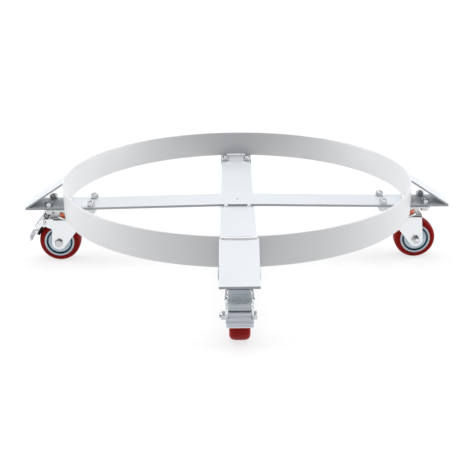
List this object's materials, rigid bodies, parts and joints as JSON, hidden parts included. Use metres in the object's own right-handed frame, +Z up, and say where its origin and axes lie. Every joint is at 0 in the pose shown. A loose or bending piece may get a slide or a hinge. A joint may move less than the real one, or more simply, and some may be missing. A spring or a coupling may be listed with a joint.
{
  "type": "drum dolly",
  "caption": "Round drum dolly: a low steel ring on a crossed flat-bar frame with sloped end braces and swivel casters with red treads, some with pedal brakes.",
  "frame": {"origin": "on the floor, under the centre of the ring", "axes": "+Z up, along the ring's axis; +X along the upper cross bar, +Y along the lower cross bar towards the back caster"},
  "size_m": [0.766, 0.766, 0.159],
  "materials": {
    "frame_paint": "smooth light silver-grey enamel, semi-gloss",
    "bright_zinc": "bright zinc plated pressed steel",
    "zinc_plate": "zinc plated pressed steel, slightly duller",
    "fastener_steel": "zinc plated fastener steel",
    "pedal_steel": "grey plated stamped steel with fine grain",
    "ball_steel": "polished bearing steel",
    "seal": "orange-red moulded dust seal",
    "tread_red": "dark red cast polyurethane, satin",
    "core_plastic": "pale blue-grey moulded plastic",
    "brake_rubber": "black rubber"
  },
  "bodies": {
    "frame": {"drum_ring": "frame_paint", "long_cross_bar": "frame_paint", "over_cross_bar": "frame_paint", "brace_front": "frame_paint", "brace_right": "frame_paint", "brace_back": "frame_paint", "brace_left": "frame_paint", "ring_welds": "frame_paint", "brace_welds": "frame_paint", "cross_welds": "frame_paint", "caster_bolts": "fastener_steel", "caster_washers": "fastener_steel", "caster_nuts": "fastener_steel", "top_plate_front": "zinc_plate", "top_plate_right": "zinc_plate", "top_plate_back": "zinc_plate", "top_plate_left": "zinc_plate", "kingpins": "fastener_steel", "dust_seals": "seal", "swivel_balls": "ball_steel"},
    "swivel_front": {"fork_front": "bright_zinc", "axle_bolt_front": "fastener_steel", "axle_nut_front": "fastener_steel", "axle_sleeve_front": "fastener_steel", "brake_pin_front": "fastener_steel"},
    "wheel_front": {"wheel_tread_front": "tread_red", "wheel_core_front": "core_plastic", "wheel_bearings_front": "ball_steel"},
    "brake_front": {"brake_pedal_front": "pedal_steel", "brake_arm_front": "bright_zinc", "brake_pad_front": "brake_rubber"},
    "swivel_right": {"fork_right": "bright_zinc", "axle_bolt_right": "fastener_steel", "axle_nut_right": "fastener_steel", "axle_sleeve_right": "fastener_steel"},
    "wheel_right": {"wheel_tread_right": "tread_red", "wheel_core_right": "core_plastic", "wheel_bearings_right": "ball_steel"},
    "swivel_back": {"fork_back": "bright_zinc", "axle_bolt_back": "fastener_steel", "axle_nut_back": "fastener_steel", "axle_sleeve_back": "fastener_steel"},
    "wheel_back": {"wheel_tread_back": "tread_red", "wheel_core_back": "core_plastic", "wheel_bearings_back": "ball_steel"},
    "swivel_left": {"fork_left": "bright_zinc", "axle_bolt_left": "fastener_steel", "axle_nut_left": "fastener_steel", "axle_sleeve_left": "fastener_steel", "brake_pin_left": "fastener_steel"},
    "wheel_left": {"wheel_tread_left": "tread_red", "wheel_core_left": "core_plastic", "wheel_bearings_left": "ball_steel"},
    "brake_left": {"brake_pedal_left": "pedal_steel", "brake_arm_left": "bright_zinc", "brake_pad_left": "brake_rubber"}
  },
  "joints": [
    {"name": "swivel_front", "type": "hinge", "parent": "frame", "child": "swivel_front", "pos_m": [0, -0.303, 0.094], "axis": [0, 0, 1], "continuous": true},
    {"name": "roll_front", "type": "hinge", "parent": "swivel_front", "child": "wheel_front", "pos_m": [0, -0.329, 0.0375], "axis": [1, 0, 0], "continuous": true},
    {"name": "brake_front", "type": "hinge", "parent": "swivel_front", "child": "brake_front", "pos_m": [0, -0.353, 0.077], "axis": [-1, 0, 0], "range_deg": [0, 15]},
    {"name": "swivel_right", "type": "hinge", "parent": "frame", "child": "swivel_right", "pos_m": [0.303, 0, 0.094], "axis": [0, 0, 1], "continuous": true},
    {"name": "roll_right", "type": "hinge", "parent": "swivel_right", "child": "wheel_right", "pos_m": [0.329, 0, 0.0375], "axis": [0, 1, 0], "continuous": true},
    {"name": "swivel_back", "type": "hinge", "parent": "frame", "child": "swivel_back", "pos_m": [0, 0.303, 0.094], "axis": [0, 0, 1], "continuous": true},
    {"name": "roll_back", "type": "hinge", "parent": "swivel_back", "child": "wheel_back", "pos_m": [0, 0.329, 0.0375], "axis": [-1, 0, 0], "continuous": true},
    {"name": "swivel_left", "type": "hinge", "parent": "frame", "child": "swivel_left", "pos_m": [-0.303, 0, 0.094], "axis": [0, 0, 1], "continuous": true},
    {"name": "roll_left", "type": "hinge", "parent": "swivel_left", "child": "wheel_left", "pos_m": [-0.329, 0, 0.0375], "axis": [0, -1, 0], "continuous": true},
    {"name": "brake_left", "type": "hinge", "parent": "swivel_left", "child": "brake_left", "pos_m": [-0.353, 0, 0.077], "axis": [0, 1, 0], "range_deg": [0, 15]}
  ]
}
